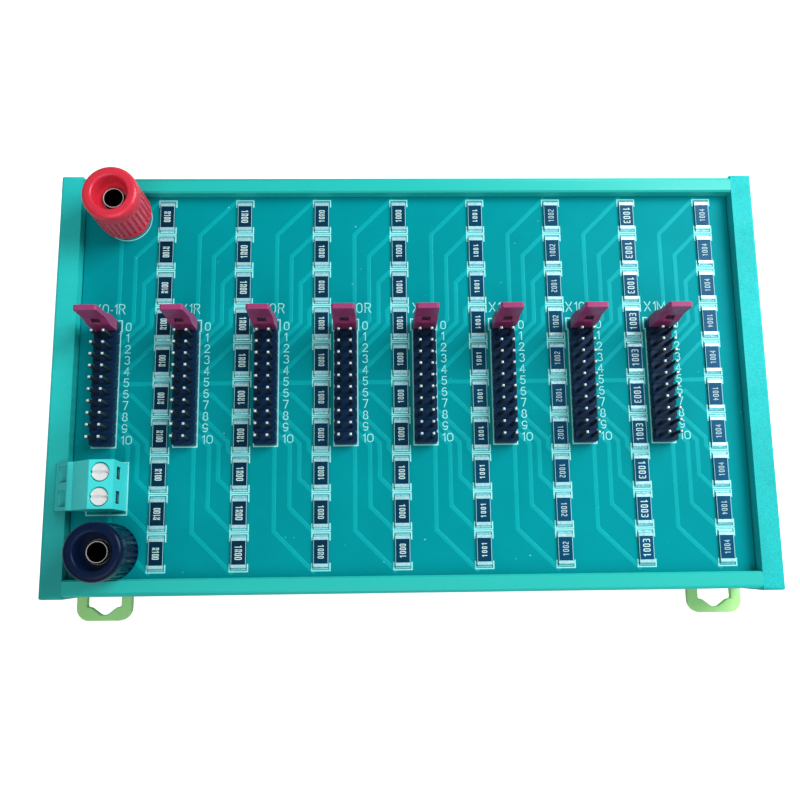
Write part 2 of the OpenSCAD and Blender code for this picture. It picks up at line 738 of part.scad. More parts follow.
// Latch: legs and loop in one plane, with a hooked nose below
module foot_latch() {
    lift = 0.2;
    nose_slope = 1.6;
    nose_edge = 1.2;
    nose_top = seat_z - 0.1;
    shoulder_t = latch_z - nose_top + 0.2;
    translate([0, 0, latch_z]) linear_extrude(latch_t) latch_plan();
    along_x(foot_w) polygon([[-hook_y, hook_h - hook_slope], [-hook_y, lift + nose_edge],
        [-hook_y - nose_slope, lift], [-half_rail - nose_root, lift], [-half_rail - nose_root, nose_top],
        [-half_rail, nose_top], [-half_rail, hook_h]]);
    for (side = [-1, 1])
        translate([side * (foot_w - leg_w) / 2 - leg_w / 2, -half_rail - nose_root, nose_top - 0.1])
            cube([leg_w, nose_root, shoulder_t]);
}

module foot_latch_left() {
    color("greenyellow") translate([-foot_x, mid_y, 0]) foot_latch();
}

module foot_latch_right() {
    color("greenyellow") translate([foot_x, mid_y, 0]) foot_latch();
}

carrier_profile();
end_cap_left();
end_cap_right();
circuit_board();
header_body(1);  // header_body_1
header_body(2);  // header_body_2
header_body(3);  // header_body_3
header_body(4);  // header_body_4
header_body(5);  // header_body_5
header_body(6);  // header_body_6
header_body(7);  // header_body_7
header_body(8);  // header_body_8
header_pins();
resistors(1);  // resistors_1
resistors(2);  // resistors_2
resistors(3);  // resistors_3
resistors(4);  // resistors_4
resistors(5);  // resistors_5
resistors(6);  // resistors_6
resistors(7);  // resistors_7
resistors(8);  // resistors_8
resistor_terminals();
jumper_cap(1);  // jumper_cap_1
jumper_cap(2);  // jumper_cap_2
jumper_cap(3);  // jumper_cap_3
jumper_cap(4);  // jumper_cap_4
jumper_cap(5);  // jumper_cap_5
jumper_cap(6);  // jumper_cap_6
jumper_cap(7);  // jumper_cap_7
jumper_cap(8);  // jumper_cap_8
jumper_contact(1);  // jumper_contact_1
jumper_contact(2);  // jumper_contact_2
jumper_contact(3);  // jumper_contact_3
jumper_contact(4);  // jumper_contact_4
jumper_contact(5);  // jumper_contact_5
jumper_contact(6);  // jumper_contact_6
jumper_contact(7);  // jumper_contact_7
jumper_contact(8);  // jumper_contact_8
red_knob();
black_knob();
red_insert();
black_insert();
red_stud();
black_stud();
red_collar();
black_collar();
post_nuts();
terminal_housing();
terminal_screw(1);  // terminal_screw_1
terminal_screw(2);  // terminal_screw_2
terminal_cage(1);  // terminal_cage_1
terminal_cage(2);  // terminal_cage_2
terminal_pins();
rail_foot_left();
rail_foot_right();
foot_latch_left();
foot_latch_right();
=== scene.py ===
import math

import bpy
from mathutils import Matrix, Vector


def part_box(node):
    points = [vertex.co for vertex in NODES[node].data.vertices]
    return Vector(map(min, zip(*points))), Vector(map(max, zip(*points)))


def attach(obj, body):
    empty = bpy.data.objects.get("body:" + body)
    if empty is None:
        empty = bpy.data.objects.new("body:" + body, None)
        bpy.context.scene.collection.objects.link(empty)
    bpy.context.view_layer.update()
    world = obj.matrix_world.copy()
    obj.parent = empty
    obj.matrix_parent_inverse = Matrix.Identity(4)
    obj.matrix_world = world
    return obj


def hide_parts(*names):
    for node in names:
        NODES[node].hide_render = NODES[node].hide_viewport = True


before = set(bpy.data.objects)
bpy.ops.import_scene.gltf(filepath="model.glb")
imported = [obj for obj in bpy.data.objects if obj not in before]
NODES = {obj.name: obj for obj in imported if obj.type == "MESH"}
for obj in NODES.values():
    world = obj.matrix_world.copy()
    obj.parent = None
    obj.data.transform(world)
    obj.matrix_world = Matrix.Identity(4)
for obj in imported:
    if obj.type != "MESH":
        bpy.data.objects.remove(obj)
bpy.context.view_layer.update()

scene = bpy.context.scene
# The frame is in metres; the sizes in this script are in millimetres
MM = 0.001


# Where the CAD parts are

def box(node):
    low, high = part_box(node)
    return [v / MM for v in low], [v / MM for v in high]


def middle(node):
    low, high = box(node)
    return (low[0] + high[0]) / 2, (low[1] + high[1]) / 2


BOARD_LOW, BOARD_HIGH = box("circuit_board")
TOP = BOARD_HIGH[2]
COLUMNS = range(1, 9)
ROWS = 11
PITCH = 2.54
# The middle of each header across, and the place of its first row
HEADERS = [(middle(f"header_body_{k}")[0], box(f"header_body_{k}")[1][1] - PITCH / 2) for k in COLUMNS]

CHIPS = 10
CHIP_LENGTH = 6.35
CHIP_END = 0.66
CHIP_BODY = CHIP_LENGTH - 2 * CHIP_END
CHIPS_LOW, CHIPS_HIGH = box("resistors_1")
CHIP_TOP = CHIPS_HIGH[2]
CHIP_PITCH = (CHIPS_HIGH[1] - CHIPS_LOW[1] - CHIP_BODY) / (CHIPS - 1)
COLUMN_X = [middle(f"resistors_{k}")[0] for k in COLUMNS]


def chip_y(k):
    """The middle of chip k, counted from the far end of its column."""
    return CHIPS_HIGH[1] - CHIP_BODY / 2 - k * CHIP_PITCH


def junction_y(k):
    """The gap before chip k, where the traces meet the column."""
    return chip_y(0) + CHIP_PITCH / 2 - k * CHIP_PITCH


# Nodes that the materials share. Each material has its own noise for tone, gloss and relief, in object space.

def shader_of(material):
    return material.node_tree.nodes["Principled BSDF"]


def new_material(name):
    material = bpy.data.materials.new(name)
    material.use_nodes = True
    return material, material.node_tree, shader_of(material)


def noise(tree, scale, detail, stretch=(1, 1, 1)):
    place = tree.nodes.new("ShaderNodeTexCoord")
    mapping = tree.nodes.new("ShaderNodeMapping")
    mapping.inputs["Scale"].default_value = stretch
    tree.links.new(place.outputs["Object"], mapping.inputs["Vector"])
    grain = tree.nodes.new("ShaderNodeTexNoise")
    grain.inputs["Scale"].default_value = scale
    grain.inputs["Detail"].default_value = detail
    tree.links.new(mapping.outputs["Vector"], grain.inputs["Vector"])
    return grain.outputs["Fac"]


def ramp(tree, source, stops):
    node = tree.nodes.new("ShaderNodeValToRGB")
    elements = node.color_ramp.elements
    while len(elements) < len(stops):
        elements.new(0.5)
    for element, (at, colour) in zip(elements, stops):
        element.position = at
        element.color = (*colour, 1)
    tree.links.new(source, node.inputs["Fac"])
    return node.outputs["Color"]


def grey_ramp(tree, source, stops):
    return ramp(tree, source, [(at, (value, value, value)) for at, value in stops])


def between(tree, source, low, high, to_low=0.0, to_high=1.0):
    """Maps the values from low to high onto a new range."""
    node = tree.nodes.new("ShaderNodeMapRange")
    node.inputs["From Min"].default_value = low
    node.inputs["From Max"].default_value = high
    node.inputs["To Min"].default_value = to_low
    node.inputs["To Max"].default_value = to_high
    tree.links.new(source, node.inputs["Value"])
    return node.outputs["Result"]


NOISE_LOW = 0.3
NOISE_HIGH = 0.7
RELIEF_STRENGTH = 0.5


def spread(tree, source, low, high):
    """Stretches a noise over a range."""
    return between(tree, source, NOISE_LOW, NOISE_HIGH, low, high)


def relief(tree, source, depth):
    bump = tree.nodes.new("ShaderNodeBump")
    bump.inputs["Strength"].default_value = RELIEF_STRENGTH
    bump.inputs["Distance"].default_value = depth * MM
    tree.links.new(source, bump.inputs["Height"])
    return bump.outputs["Normal"]


def tone(colour, factor):
    return tuple(max(0.0, min(1.0, value * factor)) for value in colour)


def object_axis(tree, axis):
    place = tree.nodes.new("ShaderNodeTexCoord")
    split = tree.nodes.new("ShaderNodeSeparateXYZ")
    tree.links.new(place.outputs["Object"], split.inputs["Vector"])
    return split.outputs[axis]


def from_upright(tree, x, y):
    """The distance from an upright line, in metres."""
    place = tree.nodes.new("ShaderNodeTexCoord")
    away = tree.nodes.new("ShaderNodeVectorMath")
    away.operation = "MULTIPLY_ADD"
    away.inputs[1].default_value = (1, 1, 0)
    away.inputs[2].default_value = (-x * MM, -y * MM, 0)
    tree.links.new(place.outputs["Object"], away.inputs[0])
    length = tree.nodes.new("ShaderNodeVectorMath")
    length.operation = "LENGTH"
    tree.links.new(away.outputs["Vector"], length.inputs[0])
    return length.outputs["Value"]


def product(tree, one, other):
    node = tree.nodes.new("ShaderNodeMath")
    node.operation = "MULTIPLY"
    tree.links.new(one, node.inputs[0])
    tree.links.new(other, node.inputs[1])
    return node.outputs["Value"]


# The sockets of a Mix node that works on colours
MIX_FACTOR, MIX_A, MIX_B, MIX_RESULT = 0, 6, 7, 2


def mix_into(material):
    """Puts a Mix node between a material's base colour and its shader."""
    tree = material.node_tree
    base = shader_of(material).inputs["Base Color"]
    mix = tree.nodes.new("ShaderNodeMix")
    mix.data_type = "RGBA"
    tree.links.new(base.links[0].from_socket, mix.inputs[MIX_A])
    tree.links.new(mix.outputs[MIX_RESULT], base)
    return tree, mix


def shade(material, source):
    """Multiplies a material's base colour."""
    tree, mix = mix_into(material)
    mix.blend_type = "MULTIPLY"
    mix.inputs[MIX_FACTOR].default_value = 1.0
    tree.links.new(source, mix.inputs[MIX_B])


def cover(material, colour, mask):
    """Lays a colour over a material where the mask is white."""
    tree, mix = mix_into(material)
    mix.inputs[MIX_B].default_value = (*colour, 1)
    tree.links.new(mask, mix.inputs[MIX_FACTOR])


# Kinds of material

DRIFT_SCALE = 90
GLOSS_SCALE = 400
STAIN_SCALE = 700
BRUSHING_SCALE = 1500
STAIN = 0.1
GLOSS_LOW, GLOSS_HIGH = 0.7, 1.4
DUST_SCALE = 1100
RIB_HIGHLIGHT_SCALE = 500


def plastic(name, colour, rough, grain, grain_scale, stretch=(1, 1, 1), vary=0.06, rough_span=0.08,
            specular=0.5):
    """Moulded or extruded plastic: soft colour drift, fine grain, and gloss that changes a little."""
    material, tree, shader = new_material(name)
    drift = noise(tree, DRIFT_SCALE, 4, stretch)
    colours = [(NOISE_LOW, tone(colour, 1 - vary)), (NOISE_HIGH, tone(colour, 1 + vary))]
    tree.links.new(ramp(tree, drift, colours), shader.inputs["Base Color"])
    gloss = noise(tree, GLOSS_SCALE, 5, stretch)
    tree.links.new(spread(tree, gloss, rough - rough_span, rough + rough_span), shader.inputs["Roughness"])
    tree.links.new(relief(tree, noise(tree, grain_scale, 4, stretch), grain), shader.inputs["Normal"])
    shader.inputs["Specular IOR Level"].default_value = specular
    return material


def metal(name, colour, rough, grain=0.004, grain_scale=3000, metallic=1.0, specular=0.5):
    """Plated or tinned metal with small stains, fine relief and uneven gloss."""
    material, tree, shader = new_material(name)
    colours = [(NOISE_LOW, tone(colour, 1 - STAIN)), (NOISE_HIGH, colour)]
    tree.links.new(ramp(tree, noise(tree, STAIN_SCALE, 5), colours), shader.inputs["Base Color"])
    gloss = noise(tree, BRUSHING_SCALE, 4)
    tree.links.new(spread(tree, gloss, rough * GLOSS_LOW, rough * GLOSS_HIGH), shader.inputs["Roughness"])
    tree.links.new(relief(tree, noise(tree, grain_scale, 3), grain), shader.inputs["Normal"])
    shader.inputs["Metallic"].default_value = metallic
    shader.inputs["Specular IOR Level"].default_value = specular
    return material


def speckle(material, scale, stops):
    """Shades a material by a fine noise, for the grain of its surface."""
    tree = material.node_tree
    shade(material, grey_ramp(tree, noise(tree, scale, 2.0), stops))


def dust(material, colour):
    """Adds sparse pale specks of dust."""
    tree = material.node_tree
    cover(material, colour, grey_ramp(tree, noise(tree, DUST_SCALE, 1.0), [(0.80, 0), (0.84, 1)]))


def shade_along(material, axis, low, high, stops):
    """Paints light and shade into a material's colour along one axis of the object."""
    tree = material.node_tree
    place = between(tree, object_axis(tree, axis), low * MM, high * MM)
    shade(material, grey_ramp(tree, place, stops))


BORE_RADIUS = 2.0


def darken_bore(material, stud, lip):
    """Paints shade, near black, into a stud's bore and onto the end face round it, all but a bright lip of a
    given width.
    """
    tree = material.node_tree
    reach = 0.5
    distance = between(tree, from_upright(tree, *middle(stud)),
                       (BORE_RADIUS - reach) * MM, (BORE_RADIUS + reach) * MM)
    edges = [(0.0, 1), (0.04, 0), (0.04 + lip, 0), (0.09 + lip, 0.97), (0.40, 0.97), (0.48, 0)]
    mask = grey_ramp(tree, distance, [(reach + out, value) for out, value in edges])
    cover(material, (0.004, 0.004, 0.006), mask)


def rub_ribs(material, knob, tint, amount):
    """Paints a highlight, uneven by a noise, on the crests of a knob's ribs, between its foot and its smooth
    head.
    """
    crest, foot, head, fade = 0.10, 0.5, 3.0, 0.3
    low, high = box(knob)
    radius = (high[0] - low[0]) / 2
    tree = material.node_tree
    height = object_axis(tree, "Z")
    mask = spread(tree, noise(tree, RIB_HIGHLIGHT_SCALE, 4), 0.6 * amount, amount)
    for source, start, end in ((from_upright(tree, *middle(knob)), radius - crest, radius - 0.2 * crest),
                               (height, low[2] + foot, low[2] + foot + fade),
                               (height, high[2] - head, high[2] - head - fade)):
        mask = product(tree, mask, between(tree, source, start * MM, end * MM))
    cover(material, tint, mask)


# Materials of the carrier and its feet

PROFILE = plastic("profile_plastic", (0.016, 0.57, 0.51), rough=0.40, grain=0.012, grain_scale=2500,
                  stretch=(0.06, 1, 1), vary=0.05, specular=0.3)
CAP = plastic("cap_plastic", (0.018, 0.68, 0.65), rough=0.48, grain=0.05, grain_scale=2600,
              vary=0.05, specular=0.3)
CAP_RIGHT = plastic("cap_plastic_grained", (0.016, 0.61, 0.615), rough=0.55, grain=0.11, grain_scale=3200,
                    vary=0.09, specular=0.15)
LIME = plastic("lime_plastic", (0.52, 1.0, 0.36), rough=0.42, grain=0.015, grain_scale=3000,
               vary=0.07, specular=0.35)
speckle(CAP_RIGHT, 5200, [(0.38, 0.76), (0.52, 0.96), (0.60, 1.0)])
speckle(CAP, 5200, [(0.30, 0.93), (0.60, 1.0)])
# Painted shade: the left cap is painted darker towards the front, for the shadow that falls on it there
shade_along(CAP, "Y", BOARD_LOW[1], BOARD_HIGH[1], [(0.0, 0.66), (0.20, 0.58), (0.45, 0.98), (1.0, 1.0)])

# Materials of the board and what is soldered to it

DUST = (0.20, 0.72, 0.76)
BOARD = plastic("solder_mask", (0.0003, 0.315, 0.358), rough=0.42, grain=0.004, grain_scale=900,
                vary=0.05, rough_span=0.05, specular=0.02)
TRACE = plastic("mask_over_copper", (0.001, 0.42, 0.46), rough=0.38, grain=0.004, grain_scale=1500,
                vary=0.05, rough_span=0.05, specular=0.06)
dust(BOARD, DUST)
dust(TRACE, DUST)
SILK = plastic("board_print", (0.38, 1.0, 1.0), rough=0.60, grain=0.01, grain_scale=9000, specular=0.05)
HEADER = plastic("header_plastic", (0.003, 0.024, 0.072), rough=0.36, grain=0.02, grain_scale=5000,
                 vary=0.2, specular=0.13)
# Painted shade: a dark strip for the groove between header cells
SEAM_SHADE = plastic("header_seam", (0.001, 0.006, 0.018), rough=0.5, grain=0.02, grain_scale=5000,
               vary=0.2, specular=0.05)
PIN = metal("pin_metal", (0.84, 0.97, 1.0), rough=0.30, metallic=0.35, specular=0.15)
# Painted shade and highlight: the pins in their dark rows are painted dark along their shafts and bright only
# at their tips, where they catch the light
PIN_TOP = box("header_pins")[1][2]
shade_along(PIN, "Z", PIN_TOP - 6, PIN_TOP, [(0.0, 0.03), (0.93, 0.04), (0.975, 1.0)])
TIN = metal("tinned_end", (0.52, 0.94, 1.0), rough=0.28, grain=0.02, grain_scale=2500, metallic=0.35)
SOLDER = metal("solder", (0.36, 0.88, 0.97), rough=0.24, grain=0.03, grain_scale=1800, metallic=0.4)
CERAMIC = plastic("chip_ceramic", (0.46, 0.93, 1.0), rough=0.55, grain=0.01, grain_scale=4000,
                  vary=0.05, specular=0.1)
CODE = plastic("chip_print", (0.66, 1.0, 1.0), rough=0.60, grain=0.01, grain_scale=9000,
               vary=0.10, specular=0.1)
GLAZE = plastic("chip_glaze", (0.003, 0.095, 0.218), rough=0.28, grain=0.006, grain_scale=2500,
                vary=0.2, specular=0.08)
# Painted sheen: the glaze is painted paler towards the right, where it takes on more of the sky's reflection
shade_along(GLAZE, "X", CHIPS_LOW[0], box("resistors_8")[1][0], [(0.0, 0.32), (0.45, 0.46), (1.0, 0.96)])

# Materials of the jumper caps, the posts and the screw terminal

JUMPER = plastic("jumper_plastic", (0.38, 0.054, 0.190), rough=0.36, grain=0.012, grain_scale=4000,
                 vary=0.08, specular=0.18)
CONTACT = metal("contact_metal", (0.92, 0.90, 0.90), rough=0.25, metallic=0.2)
# Painted shade and glint: the contact's tab, seen in the window of a cap, is painted dark but for a painted
# bright glint across its fold
shade_along(CONTACT, "Z", TOP + 8.0, TOP + 10.2,
            [(0.0, 0.06), (0.43, 0.06), (0.46, 1.0), (0.74, 1.0), (0.77, 0.06)])
RED_COLOUR = (0.80, 0.030, 0.066)
RED = plastic("red_plastic", RED_COLOUR, rough=0.30, grain=0.002, grain_scale=3000, vary=0.04)
# The red knob's own copy of the red plastic carries a painted highlight on the crests of its ribs
RED_KNOB_HIGHLIGHTED = plastic("red_knob_plastic_highlighted", RED_COLOUR, rough=0.30, grain=0.002, grain_scale=3000, vary=0.04)
rub_ribs(RED_KNOB_HIGHLIGHTED, "red_knob", (1.0, 0.20, 0.40), 0.38)
BLACK = plastic("black_plastic", (0.001, 0.010, 0.042), rough=0.30, grain=0.003, grain_scale=3000,
                vary=0.15, specular=0.15)
NICKEL = metal("nickel_plate", (0.78, 0.78, 0.80), rough=0.16)
STUDS = {}
# Each stud's bore and the end face round it get painted shade, all but a bright lip
for colour, lip in (("red", 0.14), ("black", 0.08)):
    STUDS[colour] = metal(f"{colour}_stud_plate", (0.97, 0.97, 0.98), rough=0.45, metallic=0.6)
    darken_bore(STUDS[colour], f"{colour}_stud", lip)
TERMINAL = plastic("terminal_plastic", (0.07, 0.88, 0.88), rough=0.42, grain=0.015, grain_scale=3000,
                   vary=0.04, specular=0.2)
# Painted shade: the terminal's wire side, on the left, is painted darker, for the shade on its lower entries
shade_along(TERMINAL, "X", box("terminal_housing")[0][0], box("terminal_housing")[1][0],
            [(0.0, 0.72), (0.20, 0.66), (0.34, 0.90), (0.66, 1.0)])
SCREW = metal("screw_zinc", (1.0, 1.0, 1.0), rough=0.32, grain=0.006, metallic=0.10)
STEEL = metal("cage_steel", (0.22, 0.25, 0.27), rough=0.34)


# Materials and soft edges of the CAD parts, by the start of a node's name

LOOKS = {"carrier_profile": PROFILE, "end_cap_left": CAP, "end_cap_right": CAP_RIGHT,
         "rail_foot": LIME, "foot_latch": LIME, "circuit_board": BOARD,
         "header_body": HEADER, "header_pins": PIN, "resistors_": GLAZE, "resistor_terminals": TIN,
         "jumper_cap": JUMPER, "jumper_contact": CONTACT,
         "red_knob": RED_KNOB_HIGHLIGHTED, "red_collar": RED, "red_insert": NICKEL, "red_stud": STUDS["red"],
         "black_knob": BLACK, "black_collar": BLACK, "black_insert": NICKEL, "black_stud": STUDS["black"],
         "post_nuts": NICKEL, "terminal_housing": TERMINAL, "terminal_screw": SCREW,
         "terminal_cage": STEEL, "terminal_pins": STEEL}
SOFT_EDGES = {"carrier_profile": 0.25, "end_cap": 0.3, "rail_foot": 0.25, "foot_latch": 0.3,
              "header_body": 0.08, "header_pins": 0.07, "jumper_cap": 0.14, "terminal_housing": 0.12}
WELD_WITHIN = 0.002
EDGE_ANGLE = math.radians(40)


def by_start(table, name):
    return next((value for start, value in table.items() if name.startswith(start)), None)


def soften(node, width):
    """Rounds the sharp edges of a CAD part."""
    weld = node.modifiers.new("weld", "WELD")
    weld.merge_threshold = WELD_WITHIN * MM
    soft = node.modifiers.new("soft_edges", "BEVEL")
    soft.width = width * MM
    soft.segments = 2
    soft.limit_method = "ANGLE"
    soft.angle_limit = EDGE_ANGLE
    soft.use_clamp_overlap = True
    soft.harden_normals = True


for name, node in NODES.items():
    node.data.materials.clear()
    node.data.materials.append(by_start(LOOKS, name))
    if by_start(SOFT_EDGES, name):
        soften(node, by_start(SOFT_EDGES, name))


# Meshes and strips

def add_piece(name, points, faces, material, body, smooth=False):
    mesh = bpy.data.meshes.new(name)
    mesh.from_pydata([tuple(v * MM for v in point) for point in points], [], faces)
    mesh.validate()
    mesh.materials.append(material)
    if smooth:
        mesh.shade_smooth()
    piece = bpy.data.objects.new(name, mesh)
    scene.collection.objects.link(piece)
    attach(piece, body)
    return piece


class Sheet:
    """Collects flat or raised strips that lie on a surface at height z."""

    SHARPEST_MITRE = 0.45

    def __init__(self, z):
        self.z = z
        self.points = []
        self.faces = []

    def quad(self, corners):
        at = len(self.points)
        self.points += corners
        self.faces.append(tuple(range(at, at + len(corners))))

    def sides(self, path, half):
        """Left and right offset points of a path, mitred at its corners."""
        out = []
        for k, point in enumerate(path):
            before = (point - path[k - 1]).normalized() if k else None
            after = (path[k + 1] - point).normalized() if k < len(path) - 1 else None
            before = before or after
            after = after or before
            along = before + after
            along = along.normalized() if along.length > 1e-6 else before
            normal = Vector((-along.y, along.x))
            mitre = max(self.SHARPEST_MITRE, normal.dot(Vector((-before.y, before.x))))
            out.append((point + normal * half / mitre, point - normal * half / mitre))
        return out

    def line(self, path, width, height=0.02, flank=0.0, square=True):
        """A strip along a path: a flat top, and sloping flanks where a width for them is given."""
        path = [Vector(point) for point in path]
        if (path[0] - path[-1]).length < 1e-6:
            join = (path[0] + path[-2]) / 2
            path = [join] + path[:-1] + [join]
        elif square:
            start = (path[0] - path[1]).normalized() * width / 2
            end = (path[-1] - path[-2]).normalized() * width / 2
            path = [path[0] + start] + path[1:-1] + [path[-1] + end]
        low, high = self.z, self.z + height
        outer = self.sides(path, width / 2)
        inner = self.sides(path, width / 2 - flank)
        for k in range(len(path) - 1):
            (left_0, right_0), (left_1, right_1) = inner[k], inner[k + 1]
            self.quad([(*left_0, high), (*right_0, high), (*right_1, high), (*left_1, high)])
            if flank:
                (foot_0, far_0), (foot_1, far_1) = outer[k], outer[k + 1]
                self.quad([(*foot_0, low), (*left_0, high), (*left_1, high), (*foot_1, low)])
                self.quad([(*right_0, high), (*far_0, low), (*far_1, low), (*right_1, high)])

    def piece(self, name, material, slot):
        return add_piece(name, self.points, self.faces, material, "base")


def arc(x, y, radius_x, radius_y, start, end, steps=8):
    turns = [math.radians(start + (end - start) * k / steps) for k in range(steps + 1)]
    return [(x + radius_x * math.cos(turn), y + radius_y * math.sin(turn)) for turn in turns]


# Lettering

# A plain single-stroke face on a grid 1 wide and 1 high
STROKES = {
    "0": [arc(0.5, 0.68, 0.44, 0.32, 0, 180) + arc(0.5, 0.32, 0.44, 0.32, 180, 360) + [(0.94, 0.68)]],
    "1": [[(0.22, 0.80), (0.55, 1.0), (0.55, 0.0)]],
    "2": [arc(0.5, 0.72, 0.42, 0.28, 170, -30) + [(0.06, 0.0), (0.95, 0.0)]],
    "3": [arc(0.48, 0.76, 0.40, 0.24, 150, -80) + arc(0.48, 0.27, 0.45, 0.27, 80, -155)],
    "4": [[(0.70, 0.0), (0.70, 1.0), (0.05, 0.30), (0.98, 0.30)]],
    "5": [[(0.88, 1.0), (0.18, 1.0), (0.12, 0.56)] + arc(0.48, 0.32, 0.44, 0.32, 125, -150)],
    "6": [[(0.80, 0.95)] + arc(0.52, 0.55, 0.45, 0.45, 100, 180) + arc(0.5, 0.31, 0.43, 0.31, 180, 540, 14)],
    "7": [[(0.06, 1.0), (0.92, 1.0), (0.38, 0.0)]],
    "8": [arc(0.5, 0.76, 0.36, 0.24, 90, 450, 12), arc(0.5, 0.26, 0.44, 0.26, 90, 450, 12)],
    "9": [[(0.20, 0.05)] + arc(0.48, 0.45, 0.45, 0.45, 280, 360) + arc(0.5, 0.69, 0.43, 0.31, 0, 360, 14)],
    "X": [[(0.02, 1.0), (0.98, 0.0)], [(0.98, 1.0), (0.02, 0.0)]],
    "R": [[(0.06, 0.0), (0.06, 1.0), (0.6, 1.0)] + arc(0.62, 0.76, 0.32, 0.24, 90, -90) + [(0.06, 0.52)],
          [(0.50, 0.52), (0.96, 0.0)]],
    "M": [[(0.02, 0.0), (0.02, 1.0), (0.5, 0.25), (0.98, 1.0), (0.98, 0.0)]],
    "K": [[(0.06, 0.0), (0.06, 1.0)], [(0.94, 1.0), (0.08, 0.42)], [(0.36, 0.60), (0.96, 0.0)]],
}
# The same face in labels, where two letters are narrower
NARROW = {**STROKES, "1": [[(0.0, 0.80), (0.85, 1.0), (0.85, 0.0)]], ".": [[(0.0, 0.36), (1.0, 0.36)]]}
# Squarer strokes for the marks on the chips
BLOCK = {
    "0": [[(0.1, 0.12), (0.1, 0.88), (0.25, 1.0), (0.75, 1.0), (0.9, 0.88), (0.9, 0.12), (0.75, 0.0),
           (0.25, 0.0), (0.1, 0.12)]],
    "1": [[(0.15, 0.84), (0.55, 1.0), (0.55, 0.0)]],
    "2": [[(0.1, 0.85), (0.25, 1.0), (0.75, 1.0), (0.9, 0.85), (0.9, 0.6), (0.1, 0.2), (0.1, 0.0),
           (0.9, 0.0)]],
    "3": [[(0.1, 1.0), (0.75, 1.0), (0.9, 0.88), (0.9, 0.62), (0.75, 0.52), (0.35, 0.52)],
          [(0.75, 0.52), (0.9, 0.40), (0.9, 0.12), (0.75, 0.0), (0.1, 0.0)]],
    "4": [[(0.7, 0.0), (0.7, 1.0), (0.1, 0.32), (0.95, 0.32)]],
    "R": [[(0.12, 0.0), (0.12, 1.0), (0.75, 1.0), (0.9, 0.86), (0.9, 0.62), (0.75, 0.50), (0.12, 0.50)],
          [(0.55, 0.50), (0.9, 0.0)]],
}
# Width and advance of the letters in labels
LETTERS = {"X": (1.36, 1.88), "0": (1.36, 1.88), "1": (0.45, 0.85), ".": (0.33, 0.89), "R": (1.38, 1.88),
           "K": (1.38, 1.88), "M": (1.7, 2.2)}
GAP_AFTER_X = 0.22
LETTER_LIFT = 0.015


def label(sheet, words, x, y, height, stroke):
    """Writes a label in which every letter has its own width."""
    before = ""
    for letter in words:
        width, advance = LETTERS[letter]
        if before == "X" and letter == "1":
            x += GAP_AFTER_X
        for path in NARROW[letter]:
            sheet.line([(x + u * width, y + v * height) for u, v in path], stroke, LETTER_LIFT)
        x += advance
        before = letter


def write(sheet, face, words, x, y, width, height, advance, stroke, turn=0):
    """Writes words from their lower left corner; turn rotates them about it, in degrees."""
    c, s = math.cos(math.radians(turn)), math.sin(math.radians(turn))
    for k, letter in enumerate(words):
        for path in face[letter]:
            flat = [(k * advance + u * width, v * height) for u, v in path]
            turned = [(x + c * along - s * up, y + s * along + c * up) for along, up in flat]
            sheet.line(turned, stroke, LETTER_LIFT)


# Copper traces under the mask

TRACE_WIDTH = 1.0
TRACE_HEIGHT = 0.05
TRACE_FLANK = 0.14
TRACE_END = 1.7
MIDDLE_ROW = 5
# How far right of its header the trace of each row turns up or down
LANES = {0: 1.9, 1: 5.2, 2: 7.3, 3: 9.3, 7: 9.3, 8: 7.3, 9: 5.2, 10: 1.9}


def trace_path(header_x, first_row, column_x, row):
    """The way from a right pin to the junction of its row, straight or over one or two bends."""
    pin_y, meet_y, end_x = first_row - row * PITCH, junction_y(row), column_x - TRACE_END
    start, end = (header_x + PITCH / 2, pin_y), (end_x, meet_y)
    if row == MIDDLE_ROW:
        return [start, (end_x, pin_y)]
    if abs(row - MIDDLE_ROW) == 1:
        return [start, (end_x - abs(meet_y - pin_y), pin_y), end]
    way = 1 if row < MIDDLE_ROW else -1
    lane = header_x + LANES[row]
    first_bend = pin_y + way * (lane - start[0])
    last_bend = meet_y - way * (end_x - lane)
    if (last_bend - first_bend) * way <= 0:
        return [start, end]
    return [start, (lane, first_bend), (lane, last_bend), end]


def copper_traces():
    """One trace for each row of each header, and the bus that joins its left pins."""
    traces = Sheet(TOP)
    for (x, first_row), column_x in zip(HEADERS, COLUMN_X):
        for row in range(ROWS):
            traces.line(trace_path(x, first_row, column_x, row), TRACE_WIDTH, TRACE_HEIGHT, TRACE_FLANK)
    for x, first_row in HEADERS:
        bus = [(x - PITCH / 2, first_row), (x - PITCH / 2, first_row - (ROWS - 1) * PITCH)]
        traces.line(bus, TRACE_WIDTH, TRACE_HEIGHT, TRACE_FLANK)
    traces.piece("copper_traces", TRACE, "board")


copper_traces()

# Studs of the posts, with a real thread where the CAD has a plain rod

COLLAR = 2.1
FLANGE = 1.05
FLANGE_RADIUS = 4.6
FLANGE_CHAMFER = 0.1
TAIL_RADIUS = 2.7
TAIL_CHAMFER = 0.25
THREAD_RADIUS = 3.0
THREAD_PITCH = 1.0
THREAD_DEPTH = 0.42
NECK = 1.3
NECK_RADIUS = 2.35
NECK_CHAMFER = 0.08
SOCKET_DEPTH = 11.7
SOCKET_CHAMFER = 0.04
THREAD_EDGE = math.radians(38)
ROUND = 40
STEPS_PER_TURN = 12


def thread_cut(turns):
    """How deep a thread is at a point, from 0 on its crest to 1 at its root."""
    crest_half, flank = 0.08, 0.30
    return min(1.0, max(0.0, (abs(turns % 1.0 - 0.5) - crest_half) / flank))


